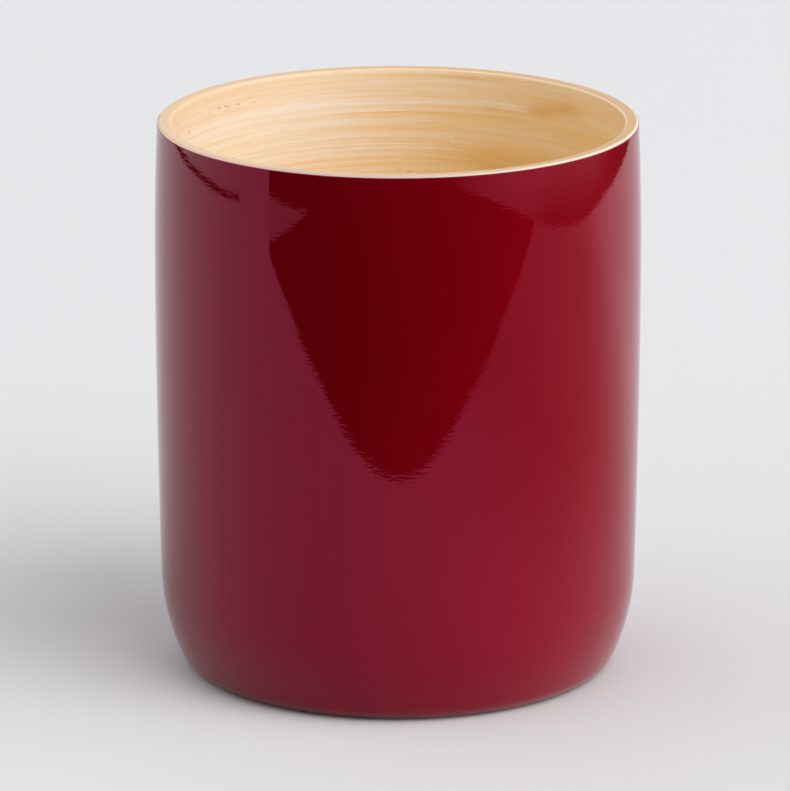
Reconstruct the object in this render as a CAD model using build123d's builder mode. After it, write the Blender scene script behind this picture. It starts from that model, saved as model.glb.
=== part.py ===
"""Bamboo cup wound from split strips, with a lacquered outside and a bare inside.

Millimetres, +Z up. The origin is the centre of the foot, on the surface the cup stands on.
"""

import os
from math import acos, atan, cos, degrees, hypot, pi, radians, sin, tan

from build123d import *

# Finished outside: widest at the belly, drawn in a little to the lip and to the foot of the side
height = 99.0
belly_radius = 43.0
belly_below_lip = 25.0
lip_inset = 0.65
side_inset = 0.68
side_start_height = 17.0

# Round under the side: a small heel on the flat foot, then one longer arc up to the side
foot_inset = 7.9
heel_radius = 4.3

# Inside: turned straight, with a round corner at the floor
lip_thickness = 2.5
floor_thickness = 5.0
corner_radius = 8.0

# Lip: sanded to a bevel outside, through the coats, and rounded inside
lip_bevel = 0.45
lip_inner_radius = 0.7

# Coats on the outside
lacquer_thickness = 0.12
ground_thickness = 0.3

# Split bamboo strip: upright in the floor, leaning in towards its top edge in the wall
strip_thickness = 0.9
strip_length = 1200.0
strip_lean = 44.0

belly_height = height - belly_below_lip
lip_radius = belly_radius - lip_inset
side_radius = belly_radius - side_inset
foot_radius = belly_radius - foot_inset
bore_radius = lip_radius - lip_thickness
coat_thickness = lacquer_thickness + ground_thickness

# The side leans out by this angle where it starts, so that it stands upright at the belly
side_lean = 2 * atan(side_inset / (belly_height - side_start_height))

# The longer arc leaves the heel and meets the side without a corner, which sets its radius
across = side_radius - foot_radius
above = side_start_height - heel_radius
round_reach = across * cos(side_lean) - above * sin(side_lean) - heel_radius
round_radius = (across**2 + above**2 - heel_radius**2) / (2 * round_reach)
centre_rise = above + round_radius * sin(side_lean)
heel_turn = acos(centre_rise / (round_radius - heel_radius))
round_turn = pi / 2 - side_lean - heel_turn

# The strips follow the inside from the centre of the floor, round the corner and up to the lip
wall_lean = radians(strip_lean)
floor_run = bore_radius - corner_radius
corner_run = corner_radius * pi / 2
lip_run = floor_run + corner_run + height - floor_thickness - corner_radius
lap_drop = (belly_radius - bore_radius) / tan(wall_lean)


def filled_outside(inset):
    """Half section of all that lies within the outside, taken in by a coat of this thickness."""
    with BuildSketch() as filled:
        with BuildLine():
            foot = Line((0, 0), (foot_radius, 0))
            if inset > 0:
                Line(foot @ 1, (foot_radius, inset))
            heel = JernArc((foot_radius, inset), (1, 0), heel_radius - inset, degrees(heel_turn))
            under = JernArc(heel @ 1, heel % 1, round_radius - inset, degrees(round_turn))
            side = TangentArc(under @ 1, (belly_radius - inset, belly_height), tangent=under % 1)
            neck = TangentArc(side @ 1, (lip_radius - inset, height), tangent=side % 1)
            Polyline(neck @ 1, (0, height), (0, 0))
        make_face()
    return filled.sketch


def finished_cup():
    """Half section of the whole cup: outside, hollow and sanded lip."""
    with BuildSketch() as cup:
        add(filled_outside(0))
        with BuildLine():
            floor = Line((0, floor_thickness), (floor_run, floor_thickness))
            corner = JernArc(floor @ 1, (1, 0), corner_radius, 90)
            Polyline(corner @ 1, (bore_radius, height), (0, height), (0, floor_thickness))
        make_face(mode=Mode.SUBTRACT)
        lip_inside = cup.vertices().group_by(Axis.Y)[-1].sort_by(Axis.X)[0]
        fillet(lip_inside, min(lip_inner_radius, lip_thickness / 2))
        lip_outside = cup.vertices().group_by(Axis.Y)[-1].sort_by(Axis.X)[-1]
        chamfer(lip_outside, min(lip_bevel, lip_thickness / 3))
    return cup.sketch


def inside_station(run):
    """Point on the inside at a distance along it from the floor's centre, with the slope of the
    inside and the lean of the strips there."""
    slope = min(max(run - floor_run, 0) / corner_radius, pi / 2)
    climb = max(run - floor_run - corner_run, 0)
    x = min(run, floor_run) + corner_radius * sin(slope)
    z = floor_thickness + corner_radius * (1 - cos(slope)) + climb
    return x, z, slope, wall_lean * slope / (pi / 2)


def strip_ends():
    """Distances along the inside where one strip runs out and the next begins.

    The strip is wound turn by turn from the centre. Where it leans it shows more of its edge,
    so a turn covers more of the inside. A short last strip is one with the strip below it."""
    ends = [0.0]
    run = 0.0
    wound = 0.0
    while run < lip_run:
        x, z, slope, lean = inside_station(run)
        wound += 2 * pi * x
        run += strip_thickness / cos(slope - lean)
        if wound >= strip_length:
            ends.append(run)
            wound = 0.0
    if wound < strip_length / 2:
        ends.pop()
    return ends + [lip_run + lap_drop + strip_thickness]


def joint_line(run):
    """Ends of the glued joint that starts on the inside at this distance, one just clear of the
    inside and the other clear of the outside."""
    x, z, slope, lean = inside_station(run)
    reach = hypot(floor_thickness, foot_inset) + corner_radius
    start = (x - strip_thickness * sin(lean), z + strip_thickness * cos(lean))
    end = (x + reach * sin(lean), z - reach * cos(lean))
    return start, end


def zone_of(run):
    """Part of the cup that the inside belongs to at this distance."""
    if run < floor_run:
        return "floor"
    if run < floor_run + corner_run:
        return "heel"
    return "wall"


os.makedirs("parts", exist_ok=True)
cup_section = finished_cup()
under_lacquer = filled_outside(lacquer_thickness)
under_coats = filled_outside(coat_thickness)

# Strips, from the centre of the floor to the lip
ends = strip_ends()
zone_counts = {"floor": 0, "heel": 0, "wall": 0}
for first, last in zip(ends, ends[1:]):
    lower_start, lower_end = joint_line(first)
    upper_start, upper_end = joint_line(last)
    with BuildPart() as strip:
        with BuildSketch(Plane.XZ):
            add(cup_section)
            add(under_coats, mode=Mode.INTERSECT)
            with BuildLine():
                Polyline(lower_start, lower_end, upper_end, upper_start, close=True)
            make_face(mode=Mode.INTERSECT)
        revolve(axis=Axis.Z)
    zone = zone_of((first + last) / 2)
    zone_counts[zone] += 1
    strip.part.label = "rim_strip" if last == ends[-1] else f"{zone}_strip_{zone_counts[zone]:02d}"
    export_step(strip.part, f"parts/{strip.part.label}.step")

# Pale ground that fills the grain under the lacquer
with BuildPart() as ground_coat:
    with BuildSketch(Plane.XZ):
        add(cup_section)
        add(under_lacquer, mode=Mode.INTERSECT)
        add(under_coats, mode=Mode.SUBTRACT)
    revolve(axis=Axis.Z)
ground_coat.part.label = "ground_coat"
export_step(ground_coat.part, "parts/ground_coat.step")

# Crimson lacquer, round the heel to the edge of the bare foot
with BuildPart() as lacquer_coat:
    with BuildSketch(Plane.XZ):
        add(cup_section)
        add(under_lacquer, mode=Mode.SUBTRACT)
    revolve(axis=Axis.Z)
lacquer_coat.part.label = "lacquer_coat"
export_step(lacquer_coat.part, "parts/lacquer_coat.step")
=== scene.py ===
"""Looks of a bamboo cup: split strips wound into a coil, lacquered crimson outside, bare inside.

Metres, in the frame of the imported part: +Z up, the origin at the centre of the foot. All strips lie
on one thread, which starts at the centre of the floor, runs outwards in a flat coil and climbs the
wall in laps to the lip. The two coats on the outside are shells turned round the axis.
"""

import logging
from dataclasses import dataclass, field
from enum import Enum
from math import acos, asin, atan, cos, hypot, pi, radians, sin, tan
from typing import Any, Callable

import bpy
import numpy as np
from bpy.types import ID, Material, Node, NodeSocket, NodeTree, Object
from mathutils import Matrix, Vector


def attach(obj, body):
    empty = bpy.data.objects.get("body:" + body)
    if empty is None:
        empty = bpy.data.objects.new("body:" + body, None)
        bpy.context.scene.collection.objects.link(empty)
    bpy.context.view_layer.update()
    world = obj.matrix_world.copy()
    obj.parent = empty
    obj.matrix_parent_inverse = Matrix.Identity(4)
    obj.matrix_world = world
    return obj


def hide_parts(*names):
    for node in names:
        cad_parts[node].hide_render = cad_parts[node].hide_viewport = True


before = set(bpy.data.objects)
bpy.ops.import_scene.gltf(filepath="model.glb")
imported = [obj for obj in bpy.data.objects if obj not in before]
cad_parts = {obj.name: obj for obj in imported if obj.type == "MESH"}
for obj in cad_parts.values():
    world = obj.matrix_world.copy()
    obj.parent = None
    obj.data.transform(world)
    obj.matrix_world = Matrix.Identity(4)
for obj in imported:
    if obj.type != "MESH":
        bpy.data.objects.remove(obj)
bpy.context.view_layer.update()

Array = np.ndarray
Colour = tuple[float, float, float]
Pair = tuple[float, float]
TURN = 2 * pi
MILLIMETRES = 1000
TINY = 1e-7
WELDS_PER_METRE = 1e8
SHARP_ANGLE = radians(32)
BLACK: Colour = (0.0, 0.0, 0.0)
WHITE: Colour = (1.0, 1.0, 1.0)
BODY = "root"
LOG = logging.getLogger("bamboo_cup")


class Slot(Enum):
    """Material slots of the record."""

    BAMBOO = "bamboo"
    GROUND = "ground"
    LACQUER = "lacquer"


class Zone(Enum):
    """Parts of the cup that a strip can lie in."""

    FLOOR = "floor"
    HEEL = "heel"
    WALL = "wall"


def math_method(operation: str, reflected: bool = False) -> Callable[..., "Field"]:
    """Makes a method of Field that adds one Math node.

    Args:
        operation: Of the Math node.
        reflected: Whether the field comes after the other value.

    Returns:
        The method.
    """

    def method(self: "Field", *others: "Field | float") -> "Field":
        """One Math node on the field and the other values."""
        values = (*others, self) if reflected else (self, *others)
        return self.board.math(operation, *values)

    return method


class Field:
    """A node's output. Values take part in arithmetic, with one Math node for each operator."""

    __add__, __radd__ = math_method("ADD"), math_method("ADD", True)
    __sub__, __rsub__ = math_method("SUBTRACT"), math_method("SUBTRACT", True)
    __mul__, __rmul__ = math_method("MULTIPLY"), math_method("MULTIPLY", True)
    __truediv__, __rtruediv__ = math_method("DIVIDE"), math_method("DIVIDE", True)
    __abs__, whole_removed = math_method("ABSOLUTE"), math_method("FRACT")
    larger, smaller = math_method("MAXIMUM"), math_method("MINIMUM")

    def __init__(self, board: "NodeBoard", socket: NodeSocket) -> None:
        """Keeps the socket and the board that its nodes go on."""
        self.board = board
        self.socket = socket

    def rise(self, low: float, high: float) -> "Field":
        """Smooth step from 0 at low to 1 at high."""
        sockets = {"Value": self, "From Min": low, "From Max": high}
        return self.board.field("ShaderNodeMapRange", {"interpolation_type": "SMOOTHSTEP"}, sockets)


class NodeBoard:
    """Writes the nodes of one material or world."""

    def __init__(self, tree: NodeTree) -> None:
        """Starts from an empty tree."""
        self.tree = tree
        tree.nodes.clear()

    def node(
        self,
        kind: str,
        settings: dict[str, Any] | None = None,
        sockets: dict[str | int, Any] | None = None,
    ) -> Node:
        """Adds one node.

        Args:
            kind: Node type.
            settings: Properties of the node, set before its sockets.
            sockets: Values or links, by socket name, identifier or number.

        Returns:
            The node.
        """
        made = self.tree.nodes.new(kind)
        for key, value in (settings or {}).items():
            setattr(made, key, value)
        for key, value in (sockets or {}).items():
            if isinstance(key, int):
                socket = made.inputs[key]
            else:
                socket = next(s for s in made.inputs if s.enabled and key in (s.identifier, s.name))
            if isinstance(value, Field):
                self.tree.links.new(value.socket, socket)
            else:
                socket.default_value = value
        return made

    def field(self, kind: str, *given: dict[Any, Any] | None, output: int | str = 0) -> Field:
        """One output of a new node with these settings and sockets."""
        return Field(self, self.node(kind, *given).outputs[output])

    def math(self, operation: str, *values: "Field | float") -> Field:
        """One Math node on these values."""
        return self.field("ShaderNodeMath", {"operation": operation}, dict(enumerate(values)))

    def mix(self, share: "Field | float", first: "Field | Colour", second: "Field | Colour") -> Field:
        """Colour between two colours.

        Args:
            share: 0 gives the first colour, 1 the second.
            first: Colour or field of colours.
            second: Colour or field of colours.

        Returns:
            The mixed colour.
        """
        ends = [c if isinstance(c, Field) else (*c, 1.0) for c in (first, second)]
        settings = {"data_type": "RGBA", "clamp_factor": True}
        sockets = {"Factor_Float": share, "A_Color": ends[0], "B_Color": ends[1]}
        made = self.node("ShaderNodeMix", settings, sockets)
        return Field(self, next(s for s in made.outputs if s.identifier == "Result_Color"))

    def split(self, vector: Field) -> tuple[Field, Field, Field]:
        """The three parts of a vector."""
        made = self.node("ShaderNodeSeparateXYZ", None, {0: vector})
        return tuple(Field(self, s) for s in made.outputs)

    def join(self, x: "Field | float", y: "Field | float", z: "Field | float") -> Field:
        """A vector from three parts."""
        return self.field("ShaderNodeCombineXYZ", None, {0: x, 1: y, 2: z})

    def noise(self, place: Field, detail: float = 2.0, roughness: float = 0.5) -> Field:
        """Smooth noise of about unit grain, between 0 and 1."""
        sockets = {"Vector": place, "Scale": 1.0, "Detail": detail, "Roughness": roughness}
        return self.field("ShaderNodeTexNoise", {"noise_dimensions": "3D"}, sockets)

    def place(self) -> tuple[Field, Field, Field]:
        """Object coordinates."""
        return self.split(self.field("ShaderNodeTexCoord", output="Object"))

    def grain(self, place: tuple[Field, Field, Field], run: float, rise: float, detail: float) -> Field:
        """Noise with grains of one size across and another upwards."""
        x, y, z = place
        return self.noise(self.join(x / run, y / run, z / rise), detail)

    def bump(self, height: Field, distance: float) -> Field:
        """Normal tilted by a height of 0 to 1 that stands for this distance."""
        return self.field("ShaderNodeBump", None, {"Height": height, "Distance": distance})

    def attribute(self, name: str) -> Field:
        """A number that the mesh carries."""
        return self.field("ShaderNodeAttribute", {"attribute_name": name}, output="Fac")

    def surface(self, sockets: dict[str | int, Any]) -> Field:
        """A Principled shader with these sockets."""
        return self.field("ShaderNodeBsdfPrincipled", None, sockets)

    def close(self, shader: Field, kind: str = "ShaderNodeOutputMaterial") -> None:
        """Joins the shader to the output."""
        self.node(kind, None, {"Surface": shader})


def new_material(name: str) -> tuple[Material, NodeBoard]:
    """An empty material and the board for its nodes."""
    material = bpy.data.materials.new(name)
    material.use_nodes = True
    return material, NodeBoard(material.node_tree)


@dataclass(frozen=True)
class Grain:
    """Noise that follows a strip: length of its grains, lanes across the face, and its own layer."""

    length: float
    lanes: float
    layer: float
    detail: float = 2.0
    roughness: float = 0.5

    def over(self, along: Field, across: Field) -> Field:
        """The noise over a strip map."""
        place = along.board.join(along / self.length, across * self.lanes, self.layer)
        return along.board.noise(place, self.detail, self.roughness)


@dataclass(frozen=True)
class BambooFinish:
    """Bare bamboo under a thin clear varnish. The grain follows each strip along its length.

    The strip map gives metres along the thread and 0 to 1 across the face of the strip.
    """

    pale: Colour = (0.95, 0.86, 0.72)
    cream: Colour = (0.95, 0.85, 0.73)
    straw: Colour = (0.92, 0.615, 0.25)
    honey: Colour = (0.84, 0.53, 0.21)
    knot_brown: Colour = (0.46, 0.25, 0.09)
    speck_brown: Colour = (0.44, 0.20, 0.03)
    glue_tan: Colour = (0.70, 0.44, 0.20)
    amber: Colour = (0.78, 0.43, 0.10)
    lip_tan: Colour = (0.58, 0.355, 0.15)
    # Pale of the lip's inner edge: partly wear, partly a painted highlight
    worn_pale_and_highlight: Colour = (0.95, 0.75, 0.52)
    wanders: Grain = Grain(0.08, 0.0, 61.0, 1.0)
    tones: Grain = Grain(0.09, 0.35, 3.0)
    streaks: Grain = Grain(0.034, 2.1, 7.0)
    fibres: Grain = Grain(0.006, 5.0, 11.0, 3.0, 0.6)
    threads: Grain = Grain(0.014, 8.0, 23.0, 2.0, 0.6)
    breaks: Grain = Grain(0.030, 0.0, 37.0)
    grit: Grain = Grain(0.0015, 1.3, 51.0, 0.0)
    wander_width: float = 0.9
    knot_spacing: float = 0.337
    knot_length: float = 0.0022
    knot_fray: float = 0.004
    grain_depth: float = 0.000008
    varnish: float = 0.22
    lip_varnish: float = 0.48
    varnish_roughness: float = 0.16

    def material(self) -> Material:
        """Writes the nodes.

        Tone drifts along the strip, streaks, fibres and threads run through it, a faint broken line
        of glue marks the joint, and a short brown mark stands at some knots of the cane. Stains and
        specks lie where the mesh carries them, and so does painted shade in the tone, which makes the
        inside deeper in colour on the right and paler on the left. The sanded lip is tan, deeper on
        the right by that painted shade, and pale on its inner edge, partly from wear and partly as a
        painted highlight that is stronger on the right. The varnish gathers there.

        Returns:
            The material.
        """
        material, board = new_material("varnished_bamboo")
        along, across, _ = board.split(board.field("ShaderNodeUVMap", {"uv_map": "strip"}))
        # The tone attribute holds painted shade as well as each strip's own tone
        names = ("stain", "tone", "specks", "lip")
        stain, tone_and_painted_shade, specks, lip = (board.attribute(name) for name in names)

        wander = across + self.wanders.over(along, across) * self.wander_width
        straight, wavy = (self.tones, self.breaks, self.grit), (self.streaks, self.fibres, self.threads)
        tone, broken, grit = (grain.over(along, across) for grain in straight)
        streak, fibre, thread = (grain.over(along, wander) for grain in wavy)
        edge = (abs(across - 0.5) * 2.0).rise(0.80, 1.0)

        beat = abs((along / self.knot_spacing).whole_removed() - 0.5) * self.knot_spacing
        knot = 1.0 - (beat + (fibre - 0.5) * self.knot_fray).rise(0.0, self.knot_length)
        # Pale band on the lip's inner edge, partly wear and partly a painted highlight
        worn_and_highlight = lip.rise(0.40, 0.75) * (1.0 - lip.rise(1.0, 1.15)) * broken.rise(0.30, 0.55)
        # Painted shade in the tone makes the inside deeper on the right and paler on the left
        depth = (tone * 0.50 + streak * 0.50 + tone_and_painted_shade * 0.17 + stain * 0.16).rise(0.28, 0.80)
        colour = board.mix(depth, self.cream, self.straw)
        # Each layer covers those before it by its share
        layers = (
            (fibre.rise(0.46, 0.74) * (0.27 + tone_and_painted_shade * 0.06), self.honey),
            (thread.rise(0.54, 0.80) * streak.rise(0.40, 0.62) * 0.50, self.honey),
            ((1.0 - thread).rise(0.52, 0.70) * 0.34, self.pale),
            (edge * broken.rise(0.48, 0.72) * 0.12, self.glue_tan),
            (knot * broken.rise(0.52, 0.60) * 0.3, self.knot_brown),
            (stain * (0.25 + fibre * 0.7), self.amber),
            (specks * grit.rise(0.57, 0.65) * 0.62, self.speck_brown),
            # The lip's tan is deeper on the right by painted shade
            (lip.smaller(1.0) * (0.60 + tone_and_painted_shade * 0.18 + thread * 0.38), self.lip_tan),
            # The pale band is stronger on the right as a painted highlight
            (worn_and_highlight * (0.52 + tone_and_painted_shade * 0.28), self.worn_pale_and_highlight),
        )
        for share, paint in layers:
            colour = board.mix(share, colour, paint)

        sockets = {"Base Color": colour, "Roughness": 0.40 + fibre * 0.14}
        sockets |= {"IOR": 1.46, "Specular IOR Level": 0.15}
        gleam = lip.rise(0.45, 0.80) * (1.0 - lip.rise(1.17, 1.25)) * broken.rise(0.25, 0.50)
        varnish = self.varnish + gleam * self.lip_varnish
        sockets |= {"Coat Weight": varnish, "Coat Roughness": self.varnish_roughness}
        sockets["Normal"] = board.bump(fibre * 0.7 + thread * 0.3, self.grain_depth)
        board.close(board.surface(sockets))
        return material


@dataclass(frozen=True)
class GroundFinish:
    """Pale filling ground, seen only as the line where the lip is sanded through the coats."""

    chalk: Colour = (0.55, 0.45, 0.375)
    dust: Colour = (0.50, 0.40, 0.33)
    # Paler, rosier colour painted on the left side as light
    painted_light_rosy: Colour = (0.78, 0.53, 0.41)
    mottle_run: float = 0.006
    mottle_rise: float = 0.002
    painted_light_fade: Pair = (-0.040, -0.012)
    tooth_size: float = 0.0012
    tooth_depth: float = 0.00001

    def material(self) -> Material:
        """Writes the nodes: a chalky mottle, a little tooth from the sanding, and paler, rosier painted
        light on the left.

        Returns:
            The material.
        """
        material, board = new_material("pale_ground")
        place = board.place()
        mottle = board.grain(place, self.mottle_run, self.mottle_rise, 3.0)
        tooth = board.grain(place, self.tooth_size, self.tooth_size, 2.0)
        colour = board.mix(mottle.rise(0.4, 0.75) * 0.7, self.chalk, self.dust)
        # Painted light: the ground is paler and rosier towards the left side
        colour = board.mix(1.0 - place[0].rise(*self.painted_light_fade), colour, self.painted_light_rosy)
        sockets = {"Base Color": colour, "Roughness": 0.5 + tooth * 0.2}
        sockets["Normal"] = board.bump(tooth, self.tooth_depth)
        board.close(board.surface(sockets))
        return material


@dataclass(frozen=True)
class LacquerFinish:
    """Glossy crimson lacquer, sprayed on while the cup turned, so its ripple runs round the cup."""

    crimson: Colour = (0.115, 0.0003, 0.0026)
    thin_crimson: Colour = (0.124, 0.0004, 0.0034)
    sheen_tint: Colour = (1.0, 0.15, 0.34)
    refraction: float = 1.8
    ripple_height: float = 0.000005
    ripple_rise: float = 0.00042
    ripple_run: float = 0.0013
    calm_heights: Pair = (0.050, 0.085)
    peel_size: float = 0.0011
    nib_size: float = 0.0009
    cloud_run: float = 0.02
    cloud_rise: float = 0.03

    def material(self) -> Material:
        """Writes the nodes: low ripples, calmer towards the lip, a fine orange peel and dust nibs.

        Returns:
            The material.
        """
        material, board = new_material("crimson_lacquer")
        place = board.place()
        ripple = board.grain(place, self.ripple_run, self.ripple_rise, 1.0)
        peel = board.grain(place, self.peel_size, self.peel_size, 0.0)
        cloud = board.grain(place, self.cloud_run, self.cloud_rise, 2.0)
        nibs = board.grain(place, self.nib_size, self.nib_size, 0.0).rise(0.86, 0.93)
        colour = board.mix(cloud.rise(0.35, 0.7), self.crimson, self.thin_crimson)
        calm = place[2].rise(*self.calm_heights)
        height = ripple * (0.95 - calm * 0.5) + peel * 0.12 + nibs * 0.5
        sockets = {"Base Color": colour, "Roughness": 0.014 + cloud * 0.014, "IOR": self.refraction}
        sockets["Specular Tint"] = (*self.sheen_tint, 1.0)
        sockets["Normal"] = board.bump(height, self.ripple_height)
        board.close(board.surface(sockets))
        return material


def arc_line(centre: Pair, radius: float, start: float, stop: float, count: int) -> Array:
    """Points on an arc: centre plus radius times the cosine and sine of evenly spaced angles.

    Args:
        centre: Distance from the axis and height.
        radius: Of the arc.
        start: First angle.
        stop: Last angle.
        count: Number of points.

    Returns:
        Points, one per row.
    """
    angle = np.linspace(start, stop, count)
    return np.stack([centre[0] + radius * np.cos(angle), centre[1] + radius * np.sin(angle)], axis=1)


def cut_at_height(line: Array, height: float) -> Array:
    """The part of a rising line that lies below a height, with its own point at that height.

    Args:
        line: Points with rising heights.
        height: Where the line ends.

    Returns:
        The shorter line.
    """
    below = line[line[:, 1] < height - TINY]
    top = np.interp(height, line[:, 1], line[:, 0])
    return np.vstack([below, [top, height]])


@dataclass(frozen=True)
class CupShape:
    """Sizes of the cup, as in the part's source, and the points on its lines."""

    height: float = 0.099
    belly_radius: float = 0.043
    belly_below_lip: float = 0.025
    lip_inset: float = 0.00065
    side_inset: float = 0.00068
    side_start_height: float = 0.017
    foot_inset: float = 0.0079
    heel_radius: float = 0.0043
    lip_thickness: float = 0.0025
    floor_thickness: float = 0.005
    corner_radius: float = 0.008
    lip_bevel: float = 0.00045
    lip_inner_radius: float = 0.0007
    lacquer_thickness: float = 0.00012
    ground_thickness: float = 0.0003
    strip_thickness: float = 0.0009
    strip_length: float = 1.2
    strip_lean: float = radians(44)
    arc_points: tuple[int, ...] = (12, 20, 34, 16)
    lip_points: int = 24
    bevel_points: int = 500

    @property
    def belly_height(self) -> float:
        """Height of the widest place."""
        return self.height - self.belly_below_lip

    @property
    def foot_radius(self) -> float:
        """Radius of the flat foot."""
        return self.belly_radius - self.foot_inset

    @property
    def bore_radius(self) -> float:
        """Radius of the straight inside."""
        return self.belly_radius - self.lip_inset - self.lip_thickness

    @property
    def coat_thickness(self) -> float:
        """Both coats together."""
        return self.lacquer_thickness + self.ground_thickness

    @property
    def floor_run(self) -> float:
        """Distance along the inside from the floor's centre to the corner."""
        return self.bore_radius - self.corner_radius

    @property
    def wall_run(self) -> float:
        """Distance along the inside from the floor's centre to the top of the corner."""
        return self.floor_run + self.corner_radius * pi / 2

    @property
    def lip_run(self) -> float:
        """Distance along the inside from the floor's centre to the height of the lip."""
        return self.wall_run + self.height - self.floor_thickness - self.corner_radius

    @property
    def neck_radius(self) -> float:
        """Radius of the arc that draws the neck in to the lip."""
        return (self.lip_inset**2 + self.belly_below_lip**2) / (2 * self.lip_inset)

    def outside_line(self, inset: float) -> Array:
        """Half section of the outside, taken in by a coat, from the edge of the foot to the lip.

        Four arcs, each tangent to the one before: heel, round, side and neck. A coat takes the
        first three in towards their centres and moves the neck in whole.

        Args:
            inset: Thickness of the coat that is taken off.

        Returns:
            Points with rising heights.
        """
        side_rise = self.belly_height - self.side_start_height
        side_lean = 2 * atan(self.side_inset / side_rise)
        side_radius = side_rise / sin(side_lean)
        across = self.foot_inset - self.side_inset
        above = self.side_start_height - self.heel_radius
        reach = across * cos(side_lean) - above * sin(side_lean) - self.heel_radius
        round_radius = (across**2 + above**2 - self.heel_radius**2) / (2 * reach)
        swing = round_radius - self.heel_radius
        heel_turn = acos((above + round_radius * sin(side_lean)) / swing)
        round_start = heel_turn - pi / 2

        heel_centre = (self.foot_radius, self.heel_radius)
        round_centre = (
            self.foot_radius - swing * sin(heel_turn), self.heel_radius + swing * cos(heel_turn)
        )
        side_centre = (self.belly_radius - side_radius, self.belly_height)
        neck_centre = (self.belly_radius - inset - self.neck_radius, self.belly_height)
        neck_turn = asin(self.belly_below_lip / self.neck_radius)
        heel, under, side, neck = self.arc_points
        arcs = [
            arc_line(heel_centre, self.heel_radius - inset, -pi / 2, round_start, heel),
            arc_line(round_centre, round_radius - inset, round_start, -side_lean, under)[1:],
            arc_line(side_centre, side_radius - inset, -side_lean, 0, side)[1:],
            arc_line(neck_centre, self.neck_radius, 0, neck_turn, neck)[1:],
        ]
        return np.vstack(arcs)

    def neck_reach(self, height: Array, inset: float) -> Array:
        """Distance of the neck from the axis: along its arc, moved in by the coat."""
        start = self.belly_radius - inset - self.neck_radius
        return start + np.sqrt(self.neck_radius**2 - (height - self.belly_height) ** 2)

    def bevel_cut(self, inset: float) -> Array:
        """Where the line under a coat comes out on the lip's bevel.

        The bevel is a straight line from the neck to the land. The cut is where the neck, moved in
        by the coat, crosses it.

        Args:
            inset: Thickness of the coat, or 0 for the lower edge of the bevel.

        Returns:
            Distance from the axis and height.
        """
        low_height = self.height - self.lip_bevel
        low = np.array([self.neck_reach(low_height, 0.0), low_height])
        top = np.array([self.belly_radius - self.lip_inset - self.lip_bevel, self.height])
        share = np.linspace(0, 1, self.bevel_points)
        line = low + share[:, None] * (top - low)
        gap = line[:, 0] - self.neck_reach(line[:, 1], inset)
        return low + np.interp(0, -gap, share) * (top - low)

    def lip_path(self) -> Array:
        """Bare top of the wall: inner round, land and bevel down to the edge of the ground coat."""
        inner_centre = (self.bore_radius + self.lip_inner_radius, self.height - self.lip_inner_radius)
        inner = arc_line(inner_centre, self.lip_inner_radius, pi, pi / 2, self.lip_points)
        land_end = [self.belly_radius - self.lip_inset - self.lip_bevel, self.height]
        return np.vstack([inner, land_end, self.bevel_cut(self.coat_thickness)])

    def inside_station(self, run: Array) -> tuple[Array, Array, Array]:
        """Where the inside is at a distance along it, and how far the strips lean there.

        Flat floor, then a quarter round, then straight up. The lean grows with the turn of the
        quarter round, from none in the floor to its full angle in the wall.

        Args:
            run: Distances from the floor's centre.

        Returns:
            Points as distance from the axis and height, lean of the strips, slope of the inside.
        """
        slope = np.clip((run - self.floor_run) / self.corner_radius, 0, pi / 2)
        x = np.minimum(run, self.floor_run) + self.corner_radius * np.sin(slope)
        climb = np.maximum(run - self.wall_run, 0)
        z = self.floor_thickness + self.corner_radius * (1 - np.cos(slope)) + climb
        return np.stack([x, z], axis=-1), self.strip_lean * slope / (pi / 2), slope


def add_object(name: str, data: ID) -> Object:
    """Makes an object of a mesh, a light or a camera, and links it to the scene."""
    made = bpy.data.objects.new(name, data)
    bpy.context.scene.collection.objects.link(made)
    return made


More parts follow.
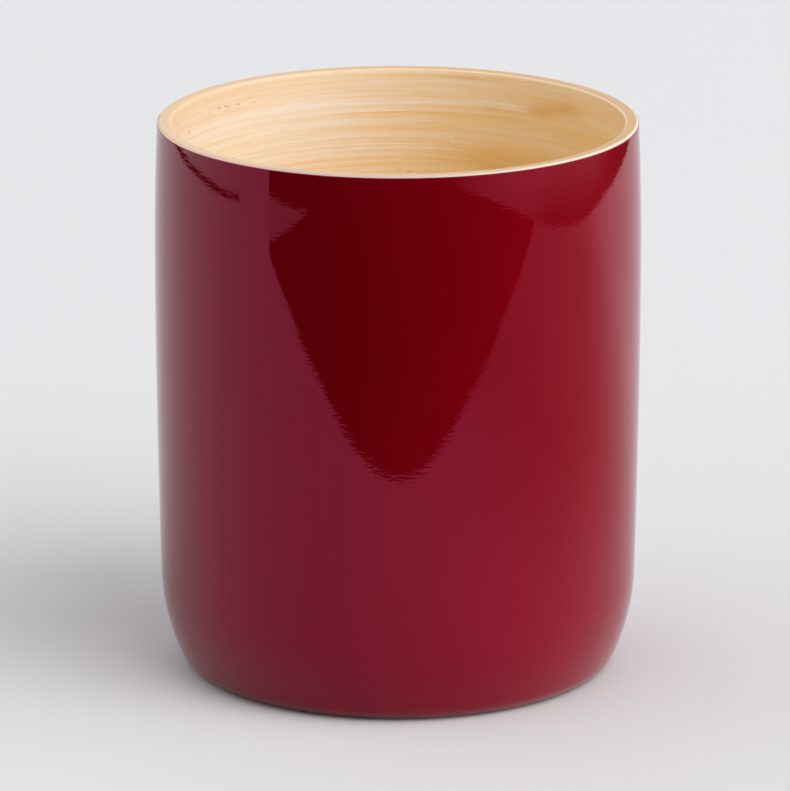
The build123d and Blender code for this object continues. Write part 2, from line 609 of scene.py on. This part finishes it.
@dataclass(frozen=True)
class MeshParts:
    """A closed surface before it goes into Blender: points, quads, capping faces and values.

    The corners of a face run anticlockwise as seen from outside.
    """

    points: Array
    quads: Array
    section_size: int
    caps: list[Array] = field(default_factory=list)
    strip_map: Array | None = None
    values: dict[str, Array] = field(default_factory=dict)

    def to_object(self, name: str, material: Material) -> Object:
        """Welds the points of each section, drops the faces that close up, and makes the object.

        Turns of one strip touch without being welded, so that each strip stays a closed ribbon.

        Args:
            name: Of the object and its mesh.
            material: Its only material.

        Returns:
            The object, at the origin.
        """
        section = np.arange(len(self.points)) // self.section_size
        section[np.hypot(self.points[:, 0], self.points[:, 1]) < TINY] = -1
        keys = np.column_stack([np.round(self.points * WELDS_PER_METRE).astype(np.int64), section])
        _, first, welded = np.unique(keys, axis=0, return_index=True, return_inverse=True)
        welded = welded.ravel()
        corners, counts = [], []
        for block in [self.quads, *(cap[None] for cap in self.caps)]:
            ends = welded[block]
            keep = ends != np.roll(ends, -1, axis=1)
            keep &= (keep.sum(axis=1) > 2)[:, None]
            corners.append(block[keep])
            counts.append(keep.sum(axis=1)[keep.any(axis=1)])
        corner, count = np.concatenate(corners), np.concatenate(counts)

        mesh = bpy.data.meshes.new(name)
        mesh.vertices.add(len(first))
        mesh.vertices.foreach_set("co", self.points[first].astype(np.float32).ravel())
        mesh.loops.add(len(corner))
        mesh.loops.foreach_set("vertex_index", welded[corner].astype(np.int32))
        mesh.polygons.add(len(count))
        mesh.polygons.foreach_set("loop_start", (np.cumsum(count) - count).astype(np.int32))
        mesh.polygons.foreach_set("use_smooth", np.ones(len(count), bool))
        if self.strip_map is not None:
            layer = mesh.uv_layers.new(name="strip")
            layer.uv.foreach_set("vector", self.strip_map[corner].astype(np.float32).ravel())
        for key, value in self.values.items():
            attribute = mesh.attributes.new(key, "FLOAT", "POINT")
            attribute.data.foreach_set("value", value[first].astype(np.float32))
        mesh.update(calc_edges=True)
        mesh.validate()
        mesh.set_sharp_from_angle(angle=SHARP_ANGLE)
        mesh.materials.append(material)
        return add_object(name, mesh)


def ring_quads(columns: int, rows: int, closed: bool) -> Array:
    """Corner numbers of the quads on a grid whose rows close on themselves.

    Args:
        columns: Number of sections.
        rows: Points in each section.
        closed: Whether the last section joins the first.

    Returns:
        Four corners per quad.
    """
    number = np.arange(columns * rows).reshape(columns, rows)
    onward = np.roll(number, -1, axis=0)
    if not closed:
        number, onward = number[:-1], onward[:-1]
    corners = [number, onward, np.roll(onward, -1, axis=1), np.roll(number, -1, axis=1)]
    return np.stack(corners, axis=-1).reshape(-1, 4)


def turned(section: Array, angle: Array) -> Array:
    """Points of each section swung round the axis: distance times cosine and sine, and height.

    Args:
        section: Distance from the axis and height, for each column and row.
        angle: One angle per column.

    Returns:
        Points, one per row.
    """
    x = section[..., 0] * np.cos(angle)[:, None]
    y = section[..., 0] * np.sin(angle)[:, None]
    return np.stack([x, y, section[..., 1]], axis=-1).reshape(-1, 3)


def dress(piece: Object, node: str) -> None:
    """Rides a piece on the cup, stands it in for its solid and logs it.

    Args:
        piece: The new piece.
        node: The solid that it stands for.
    """
    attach(piece, BODY)
    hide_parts(node)
    LOG.info("%s stands for %s, %d faces", piece.name, node, len(piece.data.polygons))


@dataclass(frozen=True)
class Mark:
    """A natural mark on the inside, as a soft oval. A negative strength makes the place paler.

    Angles are degrees to the right of the back of the cup, depths are millimetres below the lip.
    """

    angle: float
    depth: float
    half_angle: float
    half_depth: float
    strength: float

    def shade(self, angle: Array, depth: Array) -> Array:
        """Strength times a bell of the distances in both directions."""
        far = (angle - self.angle + 180) % 360 - 180
        bell = (far / self.half_angle) ** 2 + ((depth - self.depth) / self.half_depth) ** 2
        return self.strength * np.exp(-bell)


STAINS = (
    Mark(48, 4.6, 7, 1.2, 1.0),
    Mark(40, 5.8, 5, 1.0, 0.9),
    Mark(26, 6.7, 3, 0.5, 0.5),
    Mark(27, 16.2, 16, 2.8, 0.70),
    Mark(20, 1.4, 9, 0.25, 0.6),
    Mark(-62, 2.2, 40, 4.0, 0.48),
    Mark(-90, 6.0, 20, 7.0, 0.35),
    Mark(-24, 11.5, 15, 5.0, -0.45),
)
SPECKS = (
    Mark(-48, 3.8, 9, 0.45, 1.0),
    Mark(9.5, 2.0, 1.2, 0.3, 1.0),
    Mark(-69, 5.6, 1.0, 0.5, 0.9),
    Mark(4, 19.2, 5, 0.6, 0.35),
)


@dataclass
class WoundStrips:
    """The bamboo of the cup: strips on one thread, each a ribbon with its own solid.

    At thread position t, counted in turns, a ribbon lies between the joint of the turn below,
    at t - 1, and its own joint, at t. A joint starts on the inside and leans down and outwards.
    """

    shape: CupShape
    finish: BambooFinish
    samples: int = 192
    floor_stride: int = 2
    spare_turns: int = 5
    tone_seed: int = 11
    thread_angle: float = radians(200)
    last_end_angle: float = radians(159)
    # Angle at which the painted shade on the inside is deepest
    painted_shade_angle: float = radians(5)
    end_step: float = radians(82)
    grain_shift: float = 0.1
    groove_depth: float = 0.000003
    groove_share: float = 0.08
    sanding_wave: float = 0.000006
    wave_length: float = 0.061
    drift_length: float = 0.23
    drift_angle: float = 1.7
    lip_peak: float = 1.25
    lip_fade: float = 0.5
    rows: tuple[int, ...] = (0, 10, 38, 77, 115, 154, 182, 192)
    rim_rows: tuple[int, ...] = (0, 6, 14, 26, 40, 56, 72, 88, 104, 120, 136, 152, 166, 178, 186, 192)

    def __post_init__(self) -> None:
        """Winds the thread, then finds both ends of every joint along it."""
        shape = self.shape
        runs, self.starts = self.wind()
        lip = shape.lip_path()
        edge = lip[-1]
        lift = (edge[0] - shape.bore_radius) / tan(shape.strip_lean)
        last_run = shape.lip_run - shape.height + edge[1] + lift
        self.last_turn = float(np.interp(last_run, runs, np.arange(len(runs))))
        count = int(np.ceil(self.last_turn * self.samples)) + 1
        self.turn = np.minimum(np.arange(count) / self.samples, self.last_turn)
        run = np.interp(self.turn, np.arange(len(runs)), runs)
        station, self.lean, _ = shape.inside_station(run)

        over = station[:, 1] > lip[0, 1]
        self.inner = station.copy()
        self.inner[over] = self.crossing(lip, station[over], self.lean[over])
        foot = [[0, 0], [shape.foot_radius, 0], [shape.foot_radius, shape.coat_thickness]]
        side = cut_at_height(shape.outside_line(shape.coat_thickness), edge[1])
        self.outer = self.crossing(np.vstack([foot, side[1:]]), station, self.lean)
        around = TURN * self.inner[:, 0] / self.samples
        self.length = np.cumsum(around) - around

    def wind(self) -> tuple[Array, list[int]]:
        """Follows the winding turn by turn, as the part's source does.

        A turn covers the strip's thickness over the cosine of the slope less the lean. A strip
        runs out after its length, and a short last one is one with the strip below it. Spare turns
        carry the count on past the lip.

        Returns:
            Run along the inside at each whole turn, and the turn at which each strip starts.
        """
        shape = self.shape
        runs, starts, wound = [0.0], [0], 0.0
        while runs[-1] < shape.lip_run:
            place, lean, slope = shape.inside_station(np.array(runs[-1]))
            wound += TURN * float(place[0])
            runs.append(runs[-1] + shape.strip_thickness / cos(slope - lean))
            if wound >= shape.strip_length:
                starts.append(len(runs) - 1)
                wound = 0.0
        if wound < shape.strip_length / 2:
            starts.pop()
        pitch = shape.strip_thickness / sin(shape.strip_lean)
        spare = [runs[-1] + pitch * k for k in range(1, self.spare_turns + 1)]
        return np.array(runs + spare), starts

    @staticmethod
    def crossing(line: Array, start: Array, lean: Array) -> Array:
        """Where joints cross a line: the distance across the joint changes sign there.

        Args:
            line: Points of the line.
            start: A point of each joint.
            lean: Lean of each joint.

        Returns:
            One point per joint.
        """
        aside = (line[None, :, 0] - start[:, None, 0]) * np.cos(lean)[:, None]
        aside += (line[None, :, 1] - start[:, None, 1]) * np.sin(lean)[:, None]
        after = np.clip((aside < 0).sum(axis=1), 1, len(line) - 1)
        number = np.arange(len(start))
        before_gap, after_gap = aside[number, after - 1], aside[number, after]
        share = np.clip(before_gap / (before_gap - after_gap), 0, 1)[:, None]
        return line[after - 1] * (1 - share) + line[after] * share

    def zone(self, first: int, last: int) -> Zone:
        """Part of the cup in which the middle of a strip lies."""
        lean = self.lean[min((first + last) // 2, len(self.lean) - 1)]
        if lean == 0:
            return Zone.FLOOR
        return Zone.HEEL if lean < self.shape.strip_lean else Zone.WALL

    def end_columns(self) -> list[int]:
        """Sample numbers at which the strips start, and at which the last one has run out."""
        behind = np.arange(len(self.starts))[::-1]
        angle = self.last_end_angle - self.end_step * behind
        part = ((self.thread_angle - angle) / TURN) % 1
        columns = np.round((np.array(self.starts) + part) * self.samples).astype(int)
        columns[0] = 0
        return [*columns.tolist(), len(self.turn) - 1 + self.samples]

    def strip(self, first: int, last: int, zone: Zone, rim: bool, tone: float) -> MeshParts:
        """One strip: a section with two faces and two joints, carried along the thread.

        The inner face follows the inside from the joint of the turn below to its own joint. Its
        edges dip by the depth of a groove, and its middle waves a little, as sanding leaves it.

        Args:
            first: Sample at which the strip starts.
            last: Sample at which it ends.
            zone: Part of the cup.
            rim: Whether the strip runs over the lip, which takes more rows.
            tone: How dark the strip is, from -1 to 1.

        Returns:
            The closed surface.
        """
        stride = self.floor_stride if zone is Zone.FLOOR else 1
        columns = np.unique(np.append(np.arange(first, last, stride), last))
        angle = self.thread_angle - TURN * columns / self.samples
        rows = np.array(self.rim_rows if rim else self.rows)
        bare_rows = np.array(self.rows if zone is not Zone.WALL else (0, self.samples))
        inner = self.face(self.inner, columns, rows, 1.0)
        outer = self.face(self.outer, columns, bare_rows, -1.0 if zone is Zone.FLOOR else 0.0)
        section = np.concatenate([inner, outer[:, ::-1]], axis=1)
        points = turned(section, angle)

        length = self.length[np.clip(columns, 0, len(self.length) - 1)] + self.grain_shift * first
        share = np.concatenate([rows, bare_rows[::-1]]) / self.samples
        strip_map = np.stack(np.broadcast_arrays(length[:, None], share[None, :]), axis=-1)
        width = section.shape[1]
        quads = ring_quads(len(columns), width, False)
        caps = [np.arange(width), np.arange(width)[::-1] + (len(columns) - 1) * width]
        # The cosine adds painted light and shade to each strip's own tone: the inside is deeper in
        # colour towards the painted shade angle, on the right, and paler on the left
        tones = tone + np.cos(np.repeat(angle, width) - self.painted_shade_angle)
        values = self.marks(points) | {"tone": tones}
        return MeshParts(points, quads, width, caps, strip_map.reshape(-1, 2), values)

    def face(self, edge: Array, columns: Array, rows: Array, dip: float) -> Array:
        """Rows of one face of a strip, let into the bamboo along the joints.

        The dip is the groove at both edges and a slow wave that is largest in the middle.

        Args:
            edge: Ends of the joints on this side.
            columns: Sample numbers.
            rows: Sample numbers across the face, from the lower joint to the upper one.
            dip: 1 dips down the joint, -1 up it, and 0 leaves the face plain.

        Returns:
            Distance from the axis and height, for each column and row.
        """
        number = np.clip(columns[:, None] - self.samples + rows[None, :], 0, len(self.turn) - 1)
        share = rows / self.samples
        length = self.length[np.clip(columns, 0, len(self.length) - 1)]
        groove = self.groove_depth * np.clip(1 - np.minimum(share, 1 - share) / self.groove_share, 0, 1)
        drift = self.drift_angle * np.sin(TURN * length / self.drift_length)
        swell = 0.5 + 0.5 * np.sin(TURN * length / self.wave_length + drift)
        wave = self.sanding_wave * swell[:, None] * np.sin(pi * share)[None, :]
        turn = self.turn[number]
        fade = np.clip(self.last_turn - turn, 0, 1) * np.clip(turn, 0, 1)
        depth = dip * fade * (groove[None, :] + wave)
        lean = self.lean[number]
        return edge[number] + depth[..., None] * np.stack([np.sin(lean), -np.cos(lean)], axis=-1)

    def marks(self, points: Array) -> dict[str, Array]:
        """Natural marks at each point, by name, with depths in millimetres.

        The lip has its peak at the top and fades downwards.

        Args:
            points: Of the mesh.

        Returns:
            One array each for stains, specks and the sanded lip.
        """
        angle = 90 - np.degrees(np.arctan2(points[:, 1], points[:, 0]))
        depth = (self.shape.height - points[:, 2]) * MILLIMETRES
        kinds = {"stain": STAINS, "specks": SPECKS}
        shades = {name: sum(m.shade(angle, depth) for m in marks) for name, marks in kinds.items()}
        return shades | {"lip": np.clip(self.lip_peak - depth / self.lip_fade, 0, None)}

    def build(self) -> None:
        """Makes every strip from the centre of the floor to the lip, and dresses it."""
        material = self.finish.material()
        tones = np.random.default_rng(self.tone_seed).uniform(-1, 1, len(self.starts))
        ends = self.end_columns()
        counts = {zone: 0 for zone in Zone}
        for number, (first, last) in enumerate(zip(ends, ends[1:])):
            zone = self.zone(first - self.samples // 2, last - self.samples // 2)
            counts[zone] += 1
            rim = last == ends[-1]
            node = "rim_strip" if rim else f"{zone.value}_strip_{counts[zone]:02d}"
            parts = self.strip(first, last, zone, rim, float(tones[number]))
            dress(parts.to_object(f"wound_{node}", material), node)


@dataclass
class Coats:
    """The two coats on the outside: shells turned round the axis, sanded through at the lip."""

    shape: CupShape
    ground_finish: GroundFinish
    lacquer_finish: LacquerFinish
    columns: int = 384
    wave_depth: float = 0.000012
    foot_fade: float = 0.2
    lip_fade: float = 0.1
    lip_calm: float = 0.99
    # Share, waves round the cup, slant, phase, waves upwards, start
    swells: tuple[tuple[float, ...], ...] = (
        (1.0, 7, 9, 0.0, 2.6, 0.4),
        (0.6, 13, -4, 1.1, 4.3, 2.0),
        (0.4, 23, 0, 2.7, 7.1, 0.0),
    )

    def shell(self, outer_inset: float, inner_inset: float, wavy: bool) -> MeshParts:
        """A coat between two insets of the outside.

        The section runs up the outer line, over the bevel of the lip and down the inner line to
        the edge of the foot, and is swung round the axis. A wavy coat has the waves let in.

        Args:
            outer_inset: Inset of the outer line.
            inner_inset: Inset of the inner line.
            wavy: Whether the outer line carries waves.

        Returns:
            The closed surface.
        """
        shape = self.shape
        outer = cut_at_height(shape.outside_line(outer_inset), shape.bevel_cut(outer_inset)[1])
        inner = cut_at_height(shape.outside_line(inner_inset), shape.bevel_cut(inner_inset)[1])
        line = np.vstack([outer, inner[::-1]])
        angle = np.arange(self.columns) * TURN / self.columns
        section = np.repeat(line[None], self.columns, axis=0)
        if wavy:
            section[:, : len(outer), 0] -= self.waves(angle[:, None], outer[None, :, 1])
        quads = ring_quads(self.columns, len(line), True)
        return MeshParts(turned(section, angle), quads, len(line))

    def waves(self, angle: Array, height: Array) -> Array:
        """Depth of the waves: the sum of the swells, lifted to stay above 0 and faded at the ends.

        A swell is a sine round the cup times a sine of the height.

        Args:
            angle: Round the cup.
            height: Above the foot.

        Returns:
            Depths of the same shape as angle times height.
        """
        up = height / self.shape.height
        wave, most = 0.0, 0.0
        for share, around, slant, phase, upward, start in self.swells:
            across = np.sin(around * angle + slant * up + phase)
            wave = wave + share * across * np.sin(TURN * upward * up + start)
            most += share
        fade = np.clip(up / self.foot_fade, 0, 1) * np.clip((self.lip_calm - up) / self.lip_fade, 0, 1)
        return self.wave_depth * fade * (wave + most) / (2 * most)

    def build(self) -> None:
        """Makes and dresses both coats, the ground first."""
        thin, both = self.shape.lacquer_thickness, self.shape.coat_thickness
        ground = self.shell(thin, both, False)
        made = ground.to_object("sanded_ground_coat", self.ground_finish.material())
        dress(made, "ground_coat")
        lacquer = self.shell(0.0, thin, True)
        made = lacquer.to_object("glossy_lacquer_coat", self.lacquer_finish.material())
        dress(made, "lacquer_coat")


@dataclass(frozen=True)
class Lamp:
    """A wide soft source, far enough away to light the whole table evenly.

    Angles are degrees: the way it comes from, round from the right of the cup to its front, then
    up from the table, and how wide it is.
    """

    name: str
    power: float
    around: float
    up: float
    width: float

    def build(self) -> None:
        """Hangs the lamp."""
        around, up = radians(self.around), radians(self.up)
        source = Vector((cos(up) * cos(around), -cos(up) * sin(around), sin(up)))
        lamp = bpy.data.lights.new(self.name, "SUN")
        lamp.energy = self.power
        lamp.angle = radians(self.width)
        made = add_object(self.name, lamp)
        made.rotation_euler = source.to_track_quat("Z", "Y").to_euler()


@dataclass(frozen=True)
class LowCard:
    """A lit white card that stands on the table at the right, lower than the lip of the cup."""

    power: float = 17.5
    around: float = 8.0
    distance: float = 1.20
    width: float = 1.20
    height: float = 0.094
    clearance: float = 0.002

    def build(self) -> None:
        """Stands the card up, facing the cup."""
        around = radians(self.around)
        facing = Vector((cos(around), -sin(around), 0.0))
        light = bpy.data.lights.new("low_card", "AREA")
        light.shape = "RECTANGLE"
        light.energy = self.power
        light.size, light.size_y = self.width, self.height
        made = add_object("low_card", light)
        middle = self.height / 2 + self.clearance
        made.location = facing * self.distance + Vector((0.0, 0.0, middle))
        made.rotation_euler = facing.to_track_quat("Z", "Y").to_euler()
        made.visible_glossy = made.visible_camera = False


def stage_square(name: str, half: float, height: float, material: Material) -> Object:
    """A square at a height: a grid of two by two points.

    Args:
        name: Of the object.
        half: Half of its side.
        height: Above the foot.
        material: Its material.

    Returns:
        The object.
    """
    side = np.array([-half, half])
    x, y = np.meshgrid(side, side)
    points = np.stack([x, y, np.full_like(x, height)], axis=-1).reshape(-1, 3)
    mesh = bpy.data.meshes.new(name)
    mesh.from_pydata(points.tolist(), [], [(0, 1, 3, 2)])
    mesh.materials.append(material)
    made = add_object(name, mesh)
    return made


def side_of(x: Field, y: Field, start: Pair, stop: Pair) -> Field:
    """Distance to the left of a line from start to stop.

    Args:
        x: Across the table.
        y: Towards its back.
        start: First point of the line.
        stop: Second point of the line.

    Returns:
        Metres, negative on the right.
    """
    run, rise = stop[0] - start[0], stop[1] - start[1]
    length = hypot(run, rise)
    return (y - start[1]) * (run / length) - (x - start[0]) * (rise / length)


@dataclass(frozen=True)
class DarkRoom:
    """The dark room beyond the edges of the table, which shows only as reflections in the lacquer.

    A card at table height carries it for glossy rays alone. The table's front edge is nearly
    straight and cut off at the left corner, its right edge bends in at the back, and a narrow gap
    on the left parts it from more pale table. In front of the cut corner stands a dim wedge, and a
    glow lies far off to the right. A pair is a point or the two ends of a smooth change.
    """

    half: float = 1.5
    height: float = 0.0004
    softness: float = 0.002
    front_edge: float = -0.212
    front_notch: float = 0.028
    notch_half: float = 0.15
    right_edge: float = 0.438
    right_bend: float = 1.5
    right_bend_from: float = 0.08
    left_edge: float = -0.517
    left_bend: float = 1.05
    left_gap: float = 0.018
    gap_front: float = -0.12
    corner: tuple[Pair, ...] = ((-0.565, -0.313), (-0.389, -0.226))
    wedge: tuple[Pair, ...] = ((-0.387, -0.224), (-0.500, -0.280), (-0.357, -0.426))
    wedge_light: float = 0.60
    glow_light: float = 0.70
    glow_edge: float = 0.441
    glow_bend: float = 0.9
    glow_middle: float = -0.22
    glow_soft: Pair = (-0.004, 0.004)
    glow_rise_from: float = 0.46
    glow_start: Pair = (-0.72, -0.50)
    glow_front: Pair = (-0.33, -0.10)
    glow_back: Pair = (0.10, 0.30)
    shade_across: Pair = (0.03, 0.20)
    shade_back: Pair = (0.0, 0.16)
    right_shade: float = 0.50

    def build(self) -> None:
        """Lays the card: clear over the table, dimmer on its right, and dark or lit beyond it."""
        material, board = new_material("dark_room")
        x, y, _ = board.place()
        soft = (-self.softness, self.softness)
        front = y - self.front_edge - (1.0 - abs(x).rise(0.0, self.notch_half)) * self.front_notch
        corner = side_of(x, y, *self.corner)
        far_right, far_left = (y - self.right_bend_from).larger(0.0), y.larger(0.0)
        right = self.right_edge - x - far_right * far_right * self.right_bend
        left = abs(x - self.left_edge - far_left * far_left * self.left_bend) - self.left_gap / 2
        table = front.larger(corner).smaller(right).smaller(left.larger(self.gap_front - y))
        shaded = x.rise(*self.shade_across) * (1.0 - y.rise(*self.shade_back)) * self.right_shade
        clearness = table.rise(*soft) * (1.0 - shaded)

        corners = zip(self.wedge, self.wedge[1:] + self.wedge[:1])
        sides = [side_of(x, y, start, stop) for start, stop in corners]
        wedge = sides[0].smaller(sides[1]).smaller(sides[2]).rise(*soft) * self.wedge_light
        bow = y - self.glow_middle
        beyond = (x - self.glow_edge + bow * bow * self.glow_bend).rise(*self.glow_soft)
        farther = (x - self.glow_rise_from).larger(0.0)
        level = 0.13 + (1.0 - y.rise(*self.glow_front)) * 0.6 + farther * 4.0
        fall = (1.0 - y.rise(*self.glow_back) * 0.6) * y.rise(*self.glow_start)
        glow = beyond * level.smaller(1.0) * fall * self.glow_light
        colour = board.mix(wedge.larger(glow), BLACK, WHITE)

        dark = board.field("ShaderNodeEmission", None, {"Color": colour})
        clear = board.field("ShaderNodeBsdfTransparent")
        board.close(board.field("ShaderNodeMixShader", None, {0: clearness, 1: dark, 2: clear}))
        card = stage_square("room_card", self.half, self.height, material)
        card.visible_camera = card.visible_diffuse = False
        card.visible_shadow = card.visible_transmission = False


@dataclass(frozen=True)
class Studio:
    """Plain pale table, soft light and the camera.

    The light comes mostly from the right and the front. Weaker lamps stand behind and on the left,
    and a low card on the right lights the cup below its lip.
    """

    table_white: Colour = (0.690, 0.693, 0.708)
    table_half: float = 5.0
    table_height: float = -0.00002
    table_mottle: float = 0.3
    table_dimming: float = 0.985
    air_white: Colour = (0.79, 0.79, 0.806)
    air_light: float = 0.46
    lamps: tuple[Lamp, ...] = (
        Lamp("key_light", 1.62, 44, 46, 50),
        Lamp("side_light", 1.25, 14, 18, 70),
        Lamp("back_light", 0.38, -135, 48, 110),
        Lamp("fill_light", 0.78, 174, 38, 100),
    )
    low_card: LowCard = LowCard()
    room: DarkRoom = DarkRoom()
    eye: tuple[float, float, float] = (-0.000524, -1.15930, 0.37355)
    aim: tuple[float, float, float] = (-0.000524, 0.0, 0.04853)
    lens: float = 308.67
    film_width: float = 36.0

    def table(self) -> None:
        """The pale table under and behind the cup."""
        material, board = new_material("pale_table")
        x, y, _ = board.place()
        tint = board.noise(board.join(x / self.table_mottle, y / self.table_mottle, 0.0), 2.0)
        dimmer = tuple(self.table_dimming * c for c in self.table_white)
        colour = board.mix(tint, self.table_white, dimmer)
        board.close(board.surface({"Base Color": colour, "Roughness": 0.7, "Specular IOR Level": 0.2}))
        stage_square("pale_table", self.table_half, self.table_height, material)

    def air(self) -> None:
        """Pale to the eye and in reflections, dimmer as a source of light."""
        world = bpy.data.worlds.new("studio_air")
        bpy.context.scene.world = world
        world.use_nodes = True
        board = NodeBoard(world.node_tree)
        rays = ("Is Camera Ray", "Is Glossy Ray", "Is Transmission Ray")
        camera, glossy, through = (board.field("ShaderNodeLightPath", output=ray) for ray in rays)
        seen = camera.larger(glossy).larger(through)
        strength = self.air_light + seen * (1.0 - self.air_light)
        sockets = {"Color": (*self.air_white, 1.0), "Strength": strength}
        board.close(board.field("ShaderNodeBackground", None, sockets), "ShaderNodeOutputWorld")

    def camera(self) -> None:
        """A long lens at the photograph's angle."""
        lens = bpy.data.cameras.new("camera")
        lens.lens = self.lens
        lens.sensor_fit = "HORIZONTAL"
        lens.sensor_width = self.film_width
        lens.clip_start, lens.clip_end = 0.01, 50.0
        made = add_object("camera", lens)
        made.location = self.eye
        ahead = Vector(self.aim) - Vector(self.eye)
        made.rotation_euler = ahead.to_track_quat("-Z", "Y").to_euler()
        bpy.context.scene.camera = made

    def build(self) -> None:
        """Sets the stage and the plain view transform."""
        self.table()
        self.room.build()
        self.air()
        for lamp in self.lamps:
            lamp.build()
        self.low_card.build()
        self.camera()
        bpy.context.scene.view_settings.view_transform = "Standard"


def main() -> None:
    """Builds the strips, the coats and the studio."""
    logging.basicConfig(level=logging.INFO, format="%(message)s")
    shape = CupShape()
    WoundStrips(shape, BambooFinish()).build()
    Coats(shape, GroundFinish(), LacquerFinish()).build()
    Studio().build()


if __name__ == "__main__":
    main()
